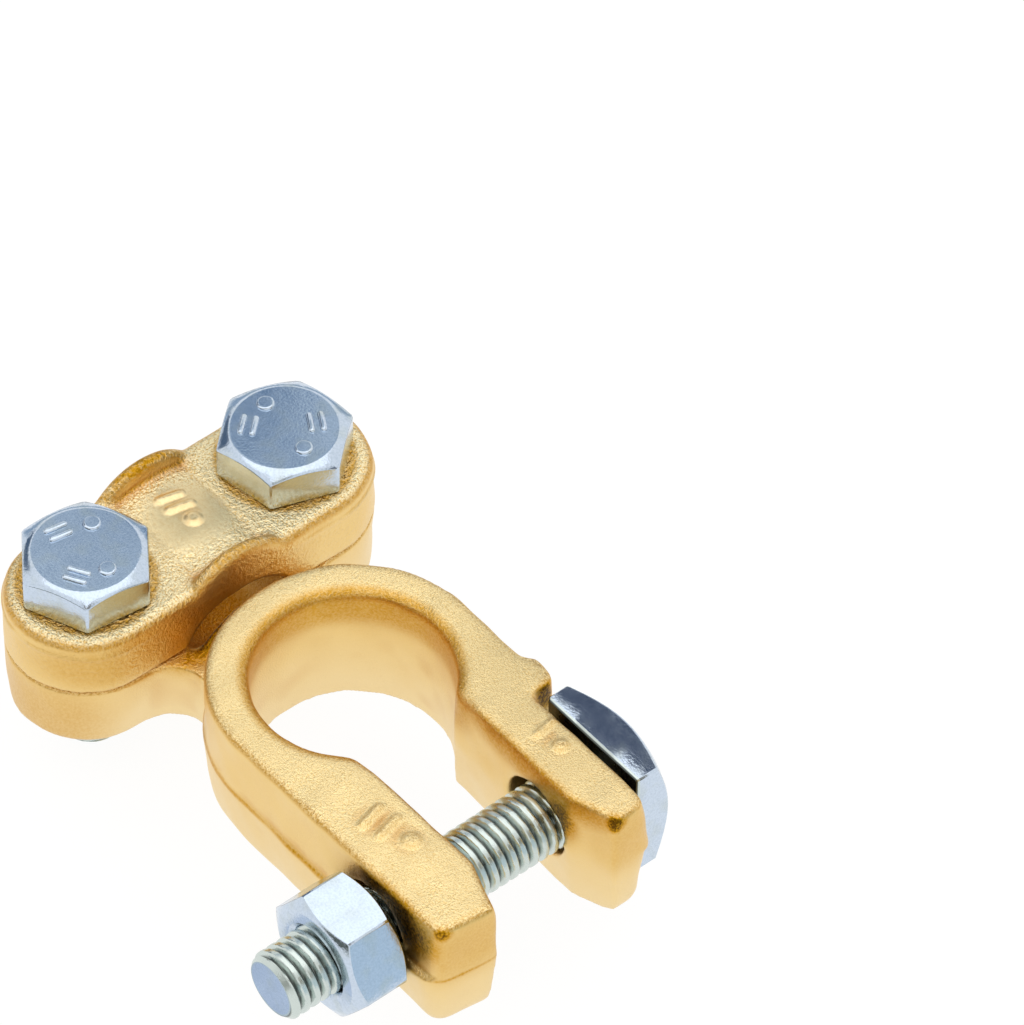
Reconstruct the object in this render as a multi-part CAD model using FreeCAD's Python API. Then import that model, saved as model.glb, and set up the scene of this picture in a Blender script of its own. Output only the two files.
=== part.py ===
"""Battery terminal clamp: a cast brass body and cable strap with M6 steel fasteners.

Millimetres, +Z up. The origin is the centre of the battery post bore on the underside
of the ring. The two arms of the ring point along +X, the cable lies along X at the
other end, and the clamp bolt runs along Y.
"""
import FreeCAD, Part
import math
import os

from FreeCAD import Vector

# Fasteners: coarse M6 thread, ten millimetre hexagons
thread_radius = 2.95
thread_clearance = 0.05
thread_end_chamfer = 0.45
strap_hole_clearance = 0.35
clamp_hole_clearance = 0.55
hex_across_flats = 10.0
head_circle_radius = 4.3
nut_circle_radius = 4.6
chamfer_slope = math.radians(30)

# Ring and battery post bore
body_height = 12.2
bore_radius = 8.15
ring_wall = 3.3
parting_height = 6.2

# Arms: walls on both sides of the slot, at the top of the casting
slot_half_width = 5.2
slot_narrowing = 0.3
slot_straight_end = 20.6
bolt_arm_wall = 4.45
nut_arm_bulge = 0.3
arm_end = 24.9
nut_arm_extra = 0.8
mouth_flare = 1.5

# Mould details of the ring and arms
top_edge_break = 0.25
bottom_edge_round = 1.2
bottom_draft = 0.35
seat_draft = 0.75
nut_side_step = 0.75
nut_bottom_step = 0.3
slot_bevel_height = 1.2
slot_bevel = 0.25
slot_wall_draft = 0.1
slot_bottom_draft = 0.6
slot_edge_radius = 0.1
upper_corner_radius = 1.2
lower_corner_radius = 2.0

# Stop lug beside the square bolt head
lug_length = 3.6
lug_reach = 2.75
lug_gap = 0.9
lug_lean = 0.3
lug_taper = 1.0
lug_root_radius = 0.4
lug_front_radius = 0.9
lug_back_radius = 0.7
lug_blend_radius = 0.8

# Clamp bolt with its square head, and the nut
clamp_bolt_x = 17.1
clamp_bolt_height = 6.4
square_head_width = 11.1
square_head_height = 3.5
square_corner_height = 2.0
square_top_radius = 5.0
clamp_hole_offset = -0.3
clamp_bolt_length = 32.4
nut_height = 5.2
nut_turn = 54.0

# Cable end: two lobes with a strap bolt in each
lobe_x = -20.6
lobe_spacing = 21.0
lobe_radius = 6.6
bolt_setback = 0.3
strap_bolt_spacing = 20.2
seam_height = 6.3
base_draft = 0.25
base_bottom_bevel = 0.4
strap_bolt_length = 17.0
strap_head_height = 3.9
left_head_turn = 22.7
right_head_turn = 9.7

# Strap plate, its raised rims and the saddle between them
strap_thickness = 5.7
strap_draft = 0.05
strap_edge_radius = 0.9
rim_height = 1.9
rim_width = 1.3
rim_half_span = 5.8
rim_foot_drop = 0.8
rim_foot_radius = 1.5
rim_edge_bevel = 0.4
saddle_half_length = 3.5
saddle_rise = 0.45
saddle_recess = 0.15

# Cable tunnel between the base and the strap, and the wall that stops the cable
tunnel_half_width = 5.3
tunnel_rise = 3.1
trough_depth = 3.2
stop_wall_gap = 0.3
stop_wall_thickness = 1.1
stop_wall_half_width = 4.9
stop_wall_rise = 2.45

# Neck between the ring and the base
neck_half_width = 6.5
neck_corner_radius = 3.0
neck_taper = 0.3

# Sizes that follow
ring_radius = bore_radius + ring_wall
bolt_side = slot_half_width - slot_narrowing / 2 + bolt_arm_wall
nut_side = ring_radius + nut_arm_bulge
seat_plane = bolt_side + seat_draft
nut_plane = nut_side + nut_side_step
hex_corner_radius = hex_across_flats / 2 / math.cos(math.radians(30))
lobe_front = lobe_x + lobe_radius
strap_bolt_x = lobe_x - bolt_setback
strap_top = seam_height + strap_thickness
rim_top = strap_top + rim_height
strap_hole_radius = thread_radius + strap_hole_clearance
clamp_hole_radius = thread_radius + clamp_hole_clearance
tapped_hole_radius = thread_radius + thread_clearance
margin = 5.0
overlap = 1.0
arc_swing = 1 - math.sqrt(0.5)

X_AXIS = Vector(1, 0, 0)
Y_AXIS = Vector(0, 1, 0)
Z_AXIS = Vector(0, 0, 1)


def rounded_wire(corners, height):
    """Closed outline at one height from corners given as (x, y, radius)."""
    edges = []
    ends = []
    count = len(corners)
    for index in range(count):
        x, y, radius = corners[index]
        here = Vector(x, y, height)
        before = Vector(*corners[index - 1][:2], height)
        after = Vector(*corners[(index + 1) % count][:2], height)
        to_before = (before - here).normalize()
        to_after = (after - here).normalize()
        half_angle = to_before.getAngle(to_after) / 2
        reach = radius / math.tan(half_angle)
        start = here + to_before * reach
        finish = here + to_after * reach
        inward = (to_before + to_after).normalize()
        centre = here + inward * (radius / math.sin(half_angle))
        middle = centre - inward * radius
        ends.append((start, middle, finish))
    for index in range(count):
        start, middle, finish = ends[index]
        edges.append(Part.Arc(start, middle, finish).toShape())
        edges.append(Part.makeLine(finish, ends[(index + 1) % count][0]))
    return Part.Wire(edges)


def polygon_wire(points):
    """Closed outline through 3-D points."""
    return Part.makePolygon(points + [points[0]])


def loft(wires):
    """Solid with straight walls between outlines of one kind."""
    return Part.makeLoft(wires, True, True)


def arms_outline(height, corner, grow=0.0, seat=0.0, nut=0.0):
    """Outside of the ring and arms at one height.

    corner rounds the ends of the arms, grow moves every wall outward, seat the wall
    under the square head, and nut the far end of the wall under the nut.
    """
    ring = ring_radius + grow
    right = bolt_side + grow + seat
    left = nut_side + grow
    tip = arm_end + grow
    lug_front = clamp_bolt_x - square_head_width / 2 - lug_gap
    lug_back = lug_front - lug_length
    lug_top = bolt_side + lug_reach + grow
    corners = [
        (-ring, -left, ring),
        (tip, -left - nut, corner + grow),
        (tip + nut_arm_extra, -slot_half_width, slot_edge_radius),
        (tip, slot_half_width, slot_edge_radius),
        (tip, right, corner + grow),
        (lug_front, right, lug_root_radius),
        (lug_front, lug_top - lug_lean, lug_front_radius),
        (lug_back + lug_taper, lug_top, lug_back_radius),
        (lug_back, ring, lug_blend_radius),
        (-ring, ring, ring),
    ]
    return rounded_wire(corners, height)


def slot_outline(height, widen):
    """Slot between the arms at one height, flared at its mouth."""
    half = slot_half_width + widen
    narrow = half - slot_narrowing
    mouth = arm_end + nut_arm_extra + margin
    flare = mouth_flare * (mouth - slot_straight_end) / (arm_end - slot_straight_end)
    points = [
        Vector(0, -half, height),
        Vector(slot_straight_end, -narrow, height),
        Vector(mouth, -narrow - flare, height),
        Vector(mouth, narrow + flare, height),
        Vector(slot_straight_end, narrow, height),
        Vector(0, half, height),
    ]
    return polygon_wire(points)


def ring_and_arms():
    """Two mould halves that meet at the parting line, with the slot and bore cut."""
    break_height = body_height - top_edge_break
    upper = loft([
        arms_outline(body_height, upper_corner_radius, grow=-top_edge_break),
        arms_outline(break_height, upper_corner_radius),
        arms_outline(parting_height, upper_corner_radius, seat=seat_draft),
    ])
    lower_outlines = [
        arms_outline(parting_height, lower_corner_radius, seat=seat_draft, nut=nut_side_step),
    ]
    for height, inset in ((1, 0), (arc_swing, arc_swing), (0, 1)):
        lower_outlines.append(arms_outline(
            height * bottom_edge_round,
            lower_corner_radius,
            grow=-bottom_draft - inset * bottom_edge_round,
            seat=seat_draft - bottom_draft,
            nut=nut_bottom_step,
        ))
    lower = loft(lower_outlines)
    slot = loft([
        slot_outline(body_height + slot_bevel_height, slot_bevel),
        slot_outline(body_height, 0),
        slot_outline(body_height - slot_bevel_height, -slot_bevel),
        slot_outline(parting_height, -slot_bevel - slot_wall_draft),
        slot_outline(0, slot_bottom_draft - slot_bevel),
        slot_outline(-margin, slot_bottom_draft),
    ])
    return upper.fuse(lower).cut(slot)


def oblong(half_section):
    """Two half-turned lobes joined by the same section run straight between them."""
    half = lobe_spacing / 2
    mirrored = half_section.mirror(Vector(lobe_x, 0, 0), X_AXIS)
    left = half_section.copy()
    left.translate(Vector(0, -half, 0))
    right = half_section.copy()
    right.translate(Vector(0, half, 0))
    left_lobe = left.revolve(Vector(lobe_x, -half, 0), Z_AXIS, -180)
    right_lobe = right.revolve(Vector(lobe_x, half, 0), Z_AXIS, 180)
    middle = []
    for face in (half_section, mirrored):
        start = face.copy()
        start.translate(Vector(0, -half, 0))
        middle.append(start.extrude(Vector(0, lobe_spacing, 0)))
    return left_lobe.fuse([right_lobe] + middle).removeSplitter()


def base_section():
    """Half section of the base: drafted wall and bevelled bottom edge."""
    foot = lobe_front - base_draft
    return Part.Face(polygon_wire([
        Vector(lobe_front, 0, seam_height),
        Vector(foot, 0, base_bottom_bevel),
        Vector(foot - base_bottom_bevel, 0, 0),
        Vector(lobe_x, 0, 0),
        Vector(lobe_x, 0, seam_height),
    ]))


def strap_section():
    """Half section of the strap plate: drafted wall and rounded top edge."""
    shoulder_height = strap_top - strap_edge_radius
    shoulder = lobe_front - strap_draft
    corner = shoulder - strap_edge_radius
    bulge = strap_edge_radius * arc_swing
    wall = Part.makeLine(Vector(lobe_front, 0, seam_height), Vector(shoulder, 0, shoulder_height))
    turn = Part.Arc(
        Vector(shoulder, 0, shoulder_height),
        Vector(shoulder - bulge, 0, strap_top - bulge),
        Vector(corner, 0, strap_top),
    ).toShape()
    top = Part.makeLine(Vector(corner, 0, strap_top), Vector(lobe_x, 0, strap_top))
    axis = Part.makeLine(Vector(lobe_x, 0, strap_top), Vector(lobe_x, 0, seam_height))
    under = Part.makeLine(Vector(lobe_x, 0, seam_height), Vector(lobe_front, 0, seam_height))
    return Part.Face(Part.Wire([wall, turn, top, axis, under]))


def arch_face(x, half_width, rise, base_height, side):
    """Circle segment across Y on a level line; side is 1 for up and -1 for down."""
    left = Vector(x, -half_width, base_height)
    right = Vector(x, half_width, base_height)
    crown = Vector(x, 0, base_height + side * rise)
    arc = Part.Arc(left, crown, right).toShape()
    return Part.Face(Part.Wire([arc, Part.makeLine(right, left)]))


def neck():
    """Web between base and ring, with concave corners against the lobes."""
    inner = ring_radius - ring_wall / 2
    wires = []
    for height, draft in ((seam_height, 0.0), (0.0, base_draft)):
        back = lobe_front - base_draft - overlap
        front = lobe_front - draft
        half = neck_half_width - draft
        foot = half + neck_corner_radius
        swing = neck_corner_radius * arc_swing
        edges = []
        for side in (-1, 1):
            edges.append(Part.Arc(
                Vector(front, side * foot, height),
                Vector(front + swing, side * (half + swing), height),
                Vector(front + neck_corner_radius, side * half, height),
            ).toShape())
            edges.append(Part.makeLine(
                Vector(front + neck_corner_radius, side * half, height),
                Vector(-inner, side * (half - neck_taper), height),
            ))
            edges.append(Part.makeLine(
                Vector(front, side * foot, height),
                Vector(back, side * foot, height),
            ))
        edges.append(Part.makeLine(Vector(back, -foot, height), Vector(back, foot, height)))
        edges.append(Part.makeLine(
            Vector(-inner, neck_taper - half, height),
            Vector(-inner, half - neck_taper, height),
        ))
        wires.append(Part.Wire(Part.__sortEdges__(edges)))
    return loft(wires)


def stop_wall():
    """Arch-topped wall that closes the cable trough in front of the strap."""
    back = lobe_front + stop_wall_gap
    hump = arch_face(back, stop_wall_half_width, stop_wall_rise, seam_height, 1)
    return hump.extrude(Vector(stop_wall_thickness, 0, 0))


def drill(x, y, radius, bottom, top):
    """Upright cylinder used as a hole."""
    return Part.makeCylinder(radius, top - bottom, Vector(x, y, bottom), Z_AXIS)


def terminal_body():
    """Ring, arms, neck and base in one casting."""
    body = ring_and_arms().fuse([oblong(base_section()), neck()])
    trough = arch_face(lobe_front + stop_wall_gap, tunnel_half_width, trough_depth, seam_height, -1)
    body = body.cut(trough.extrude(Vector(-2 * lobe_radius - margin, 0, 0)))
    body = body.fuse(stop_wall())
    bore = drill(0, 0, bore_radius, -margin, body_height + margin)
    clamp_hole = Part.makeCylinder(
        clamp_hole_radius,
        nut_plane + seat_plane + 2 * margin,
        Vector(clamp_bolt_x + clamp_hole_offset, -nut_plane - margin, clamp_bolt_height),
        Y_AXIS,
    )
    cuts = [bore, clamp_hole]
    for side in (-1, 1):
        bolt_y = side * strap_bolt_spacing / 2
        hole = drill(strap_bolt_x, bolt_y, tapped_hole_radius, -margin, seam_height + margin)
        cuts.append(hole)
    return body.cut(cuts).removeSplitter()


def crest_arcs():
    """Foot height, crown radius and blend point share of the arcs along a rim crest."""
    foot_height = strap_top - rim_foot_drop
    lift = rim_top - foot_height
    gap = lift - rim_foot_radius
    crown_radius = (rim_half_span ** 2 + gap ** 2 - rim_foot_radius ** 2) / (2 * (rim_foot_radius + gap))
    share = crown_radius / (crown_radius + rim_foot_radius)
    return foot_height, crown_radius, share


def crest_face(x):
    """Area under the rim crest, across Y at one X."""
    foot_height, crown_radius, share = crest_arcs()
    crown_centre = Vector(x, 0, rim_top - crown_radius)
    edges = []
    tops = {}
    for side in (-1, 1):
        foot = Vector(x, side * rim_half_span, foot_height)
        foot_centre = foot + Vector(0, 0, rim_foot_radius)
        blend = crown_centre + (foot_centre - crown_centre) * share
        middle = (foot - foot_centre) + (blend - foot_centre)
        middle = foot_centre + middle.normalize() * rim_foot_radius
        edges.append(Part.Arc(foot, middle, blend).toShape())
        below = Vector(x, side * rim_half_span, seam_height + tunnel_rise)
        edges.append(Part.makeLine(foot, below))
        tops[side] = (blend, below)
    edges.append(Part.Arc(tops[-1][0], Vector(x, 0, rim_top), tops[1][0]).toShape())
    edges.append(Part.makeLine(tops[-1][1], tops[1][1]))
    return Part.Face(Part.Wire(Part.__sortEdges__(edges)))


def wall_offset(height):
    """How far the drafted strap wall has leaned in at one height."""
    run = strap_thickness - strap_edge_radius
    return strap_draft * (height - seam_height) / run


def rim(side):
    """One raised rim along the front (1) or back (-1) edge of the strap."""
    inside = lobe_radius - wall_offset(strap_top) - rim_width
    length = rim_width + strap_draft + overlap
    foot = rim_half_span + overlap
    slab = crest_face(lobe_x + side * inside).extrude(Vector(side * length, 0, 0))
    low = seam_height
    high = rim_top + overlap
    lean = [
        Vector(lobe_x + side * (lobe_radius - wall_offset(low)), -foot, low),
        Vector(lobe_x + side * (lobe_radius - wall_offset(high)), -foot, high),
        Vector(lobe_x + side * (inside - overlap), -foot, high),
        Vector(lobe_x + side * (inside - overlap), -foot, low),
    ]
    wedge = Part.Face(polygon_wire(lean)).extrude(Vector(0, 2 * foot, 0))
    piece = slab.common(wedge)
    crest_edges = []
    for edge in piece.Edges:
        curved = edge.Curve.TypeId != "Part::GeomLine"
        level = edge.CenterOfMass.z > strap_top - rim_foot_drop
        along = edge.BoundBox.YLength > rim_edge_bevel
        if curved and level and along:
            crest_edges.append(edge)
    return piece.makeChamfer(rim_edge_bevel, crest_edges)


def saddle():
    """Shallow cut between the rims, with a gently arched floor."""
    inside = lobe_radius - wall_offset(strap_top) - rim_width
    edge_height = strap_top - saddle_recess
    start = lobe_x - inside
    left = Vector(start, -saddle_half_length, edge_height)
    right = Vector(start, saddle_half_length, edge_height)
    crown = Vector(start, 0, edge_height + saddle_rise)
    top_left = Vector(start, -saddle_half_length, rim_top + overlap)
    top_right = Vector(start, saddle_half_length, rim_top + overlap)
    edges = [
        Part.Arc(left, crown, right).toShape(),
        Part.makeLine(right, top_right),
        Part.makeLine(top_right, top_left),
        Part.makeLine(top_left, left),
    ]
    return Part.Face(Part.Wire(edges)).extrude(Vector(2 * inside, 0, 0))


def saddle_floor():
    """Arched floor that carries the saddle above the plate."""
    inside = lobe_radius - wall_offset(strap_top) - rim_width
    edge_height = strap_top - saddle_recess
    swell = arch_face(lobe_x - inside, saddle_half_length, saddle_rise, edge_height, 1)
    return swell.extrude(Vector(2 * inside, 0, 0))


def cable_strap():
    """Strap plate with rims, saddle, cable tunnel and two loose bolt holes."""
    plate = oblong(strap_section()).cut(saddle())
    strap = plate.fuse([saddle_floor(), rim(1), rim(-1)])
    tunnel = arch_face(lobe_x - lobe_radius - margin, tunnel_half_width, tunnel_rise, seam_height, 1)
    cuts = [tunnel.extrude(Vector(2 * lobe_radius + 2 * margin, 0, 0))]
    for side in (-1, 1):
        bolt_y = side * strap_bolt_spacing / 2
        hole = drill(strap_bolt_x, bolt_y, strap_hole_radius, 0, strap_top + margin)
        cuts.append(hole)
    return strap.cut(cuts).removeSplitter()


def turned(points):
    """Solid of revolution about Z from half-section points given as (radius, z)."""
    outline = [Vector(radius, 0, z) for radius, z in points]
    return Part.Face(polygon_wire(outline)).revolve(Vector(0, 0, 0), Z_AXIS, 360)


def prism(sides, across, height, turn):
    """Regular prism on z = 0 with a corner at the given angle."""
    corner = across / 2 / math.cos(math.pi / sides)
    points = []
    for index in range(sides):
        angle = math.radians(turn) + 2 * math.pi * index / sides
        points.append(Vector(corner * math.cos(angle), corner * math.sin(angle), 0))
    return Part.Face(polygon_wire(points)).extrude(Vector(0, 0, height))


def shank(length):
    """Threaded shank from z = 0 down, with a chamfered end."""
    tip = thread_radius - thread_end_chamfer
    full_thread_end = thread_end_chamfer - length
    return turned([(0, 0), (thread_radius, 0), (thread_radius, full_thread_end),
                   (tip, -length), (0, -length)])


def hex_head(height, turn):
    """Hexagon with a thirty degree chamfer on its top."""
    brim = hex_corner_radius + overlap
    drop = (brim - head_circle_radius) * math.tan(chamfer_slope)
    limit = turned([(0, 0), (brim, 0), (brim, height - drop), (head_circle_radius, height), (0, height)])
    return prism(6, hex_across_flats, height, turn).common(limit)


def strap_bolt(side, turn):
    """Hex bolt that presses one lobe of the strap onto the base."""
    bolt = hex_head(strap_head_height, turn).fuse(shank(strap_bolt_length)).removeSplitter()
    bolt.translate(Vector(strap_bolt_x, side * strap_bolt_spacing / 2, strap_top))
    return bolt


def clamp_bolt():
    """Square-head bolt through both arms; its head is kept from turning by the lug."""
    corner_radius = square_head_width / math.sqrt(2)
    slope = (square_head_height - square_corner_height) / (corner_radius - square_top_radius)
    brim = corner_radius + overlap
    brim_height = square_corner_height - slope * overlap
    limit = turned([(0, 0), (brim, 0), (brim, brim_height),
                    (square_top_radius, square_head_height), (0, square_head_height)])
    head = prism(4, square_head_width, square_head_height, 45).common(limit)
    bolt = head.fuse(shank(clamp_bolt_length)).removeSplitter()
    bolt.rotate(Vector(0, 0, 0), X_AXIS, -90)
    bolt.translate(Vector(clamp_bolt_x, seat_plane, clamp_bolt_height))
    return bolt


def clamp_nut():
    """Hex nut chamfered on both faces."""
    brim = hex_corner_radius + overlap
    drop = (brim - nut_circle_radius) * math.tan(chamfer_slope)
    limit = turned([(0, 0), (nut_circle_radius, 0), (brim, drop), (brim, nut_height - drop),
                    (nut_circle_radius, nut_height), (0, nut_height)])
    hole = Part.makeCylinder(tapped_hole_radius, nut_height)
    nut = prism(6, hex_across_flats, nut_height, nut_turn).common(limit).cut(hole)
    nut.rotate(Vector(0, 0, 0), X_AXIS, 90)
    nut.translate(Vector(clamp_bolt_x, -nut_plane, clamp_bolt_height))
    return nut


def main():
    """Build each piece and write it to its own file."""
    pieces = {
        "terminal_body": terminal_body(),
        "cable_strap": cable_strap(),
        "left_strap_bolt": strap_bolt(-1, left_head_turn),
        "right_strap_bolt": strap_bolt(1, right_head_turn),
        "clamp_bolt": clamp_bolt(),
        "clamp_nut": clamp_nut(),
    }
    os.makedirs("parts", exist_ok=True)
    for name, shape in pieces.items():
        box = shape.BoundBox
        print(name, "solids", len(shape.Solids), "valid", shape.isValid(),
              "volume", round(shape.Volume, 1),
              "box", [round(v, 2) for v in (box.XMin, box.XMax, box.YMin, box.YMax, box.ZMin, box.ZMax)])
        shape.exportStep(os.path.join("parts", name + ".step"))


main()
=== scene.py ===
"""Battery terminal clamp: the looks of a cast brass clamp and its zinc plated fasteners.

Metres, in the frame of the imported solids: +Z up along the battery post, +X towards the
ends of the arms and +Y towards the square bolt head. Sizes are written in millimetres
and turned to metres by MM.
"""
import logging
import math
from dataclasses import dataclass, field
from enum import Enum
from typing import Any

import bmesh
import bpy
import numpy as np
from bmesh.types import BMesh
from bpy.types import ID, Material, Mesh, Node, NodeSocket, NodeTree, Object
from mathutils import Matrix, Vector


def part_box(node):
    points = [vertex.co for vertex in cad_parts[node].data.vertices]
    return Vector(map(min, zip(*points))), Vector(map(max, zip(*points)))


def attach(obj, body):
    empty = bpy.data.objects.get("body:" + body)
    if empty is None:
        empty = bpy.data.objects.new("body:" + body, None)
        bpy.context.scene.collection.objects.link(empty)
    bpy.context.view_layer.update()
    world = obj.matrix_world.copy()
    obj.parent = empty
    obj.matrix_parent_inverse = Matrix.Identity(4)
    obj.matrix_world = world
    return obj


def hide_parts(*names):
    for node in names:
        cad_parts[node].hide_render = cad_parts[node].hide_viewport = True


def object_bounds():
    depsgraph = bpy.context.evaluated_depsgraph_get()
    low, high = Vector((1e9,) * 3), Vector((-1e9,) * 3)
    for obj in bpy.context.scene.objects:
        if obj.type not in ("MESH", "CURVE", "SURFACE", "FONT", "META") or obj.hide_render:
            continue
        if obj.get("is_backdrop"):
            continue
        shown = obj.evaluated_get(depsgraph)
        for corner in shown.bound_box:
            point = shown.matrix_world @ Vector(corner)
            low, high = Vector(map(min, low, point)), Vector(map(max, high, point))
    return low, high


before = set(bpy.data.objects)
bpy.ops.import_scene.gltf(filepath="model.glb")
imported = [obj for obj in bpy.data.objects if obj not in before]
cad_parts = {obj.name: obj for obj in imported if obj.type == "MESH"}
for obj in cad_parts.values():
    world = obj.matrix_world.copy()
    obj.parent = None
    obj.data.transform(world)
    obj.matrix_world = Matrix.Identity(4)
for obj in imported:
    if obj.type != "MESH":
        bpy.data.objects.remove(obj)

MM = 0.001
# metres below which two points of a mesh are one, over a solid and along a thread's seam
TOUCH = 1e-6
SEAM = 1e-7
RANGE = ("Value", "From Min", "From Max", "To Min", "To Max")
WHITE = (1, 1, 1, 1)
# a place, a direction or a reach along x, y and z
Triple = tuple[float, float, float]
LOG = logging.getLogger("battery_clamp")


class Axis(Enum):
    """Way a fastener points, from its seat towards the top of its head."""

    UP = "up"
    SQUARE_HEAD_SIDE = "square_head_side"
    NUT_SIDE = "nut_side"

    def matrix(self, place: Vector) -> Matrix:
        """Placement of a piece that was built along +Z at the origin.

        Args:
            place: centre of the seat, in metres.

        Returns:
            The matrix that turns and moves the piece.
        """
        turns = {Axis.UP: 0, Axis.SQUARE_HEAD_SIDE: -90, Axis.NUT_SIDE: 90}
        return Matrix.Translation(place) @ Matrix.Rotation(math.radians(turns[self]), 4, "X")


def linear(hex_colour: str) -> tuple[float, float, float, float]:
    """Turn an sRGB hex colour to linear RGBA.

    Args:
        hex_colour: six hex digits after a hash.

    Returns:
        Red, green, blue and alpha for a shader socket.
    """
    values = [int(hex_colour[i:i + 2], 16) / 255 for i in (1, 3, 5)]
    turned = [v / 12.92 if v <= 0.04045 else ((v + 0.055) / 1.055) ** 2.4 for v in values]
    return (turned[0], turned[1], turned[2], 1.0)


def add_node(
    tree: NodeTree,
    kind: str,
    settings: dict[str, Any] | None = None,
    inputs: dict[Any, Any] | None = None,
) -> Node:
    """Add one node with its settings, and fill or link its inputs.

    Args:
        tree: node tree that the node goes into.
        kind: the node's type name.
        settings: properties of the node.
        inputs: values or output sockets by input name or number.

    Returns:
        The new node.
    """
    node = tree.nodes.new(kind)
    for name, value in (settings or {}).items():
        setattr(node, name, value)
    for key, value in (inputs or {}).items():
        if isinstance(value, NodeSocket):
            tree.links.new(value, node.inputs[key])
        else:
            node.inputs[key].default_value = value
    return node


def new_material(name: str) -> tuple[Material, NodeTree]:
    """Make a node material with an empty tree, and return both."""
    material = bpy.data.materials.new(name)
    material.use_nodes = True
    material.node_tree.nodes.clear()
    return material, material.node_tree


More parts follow.
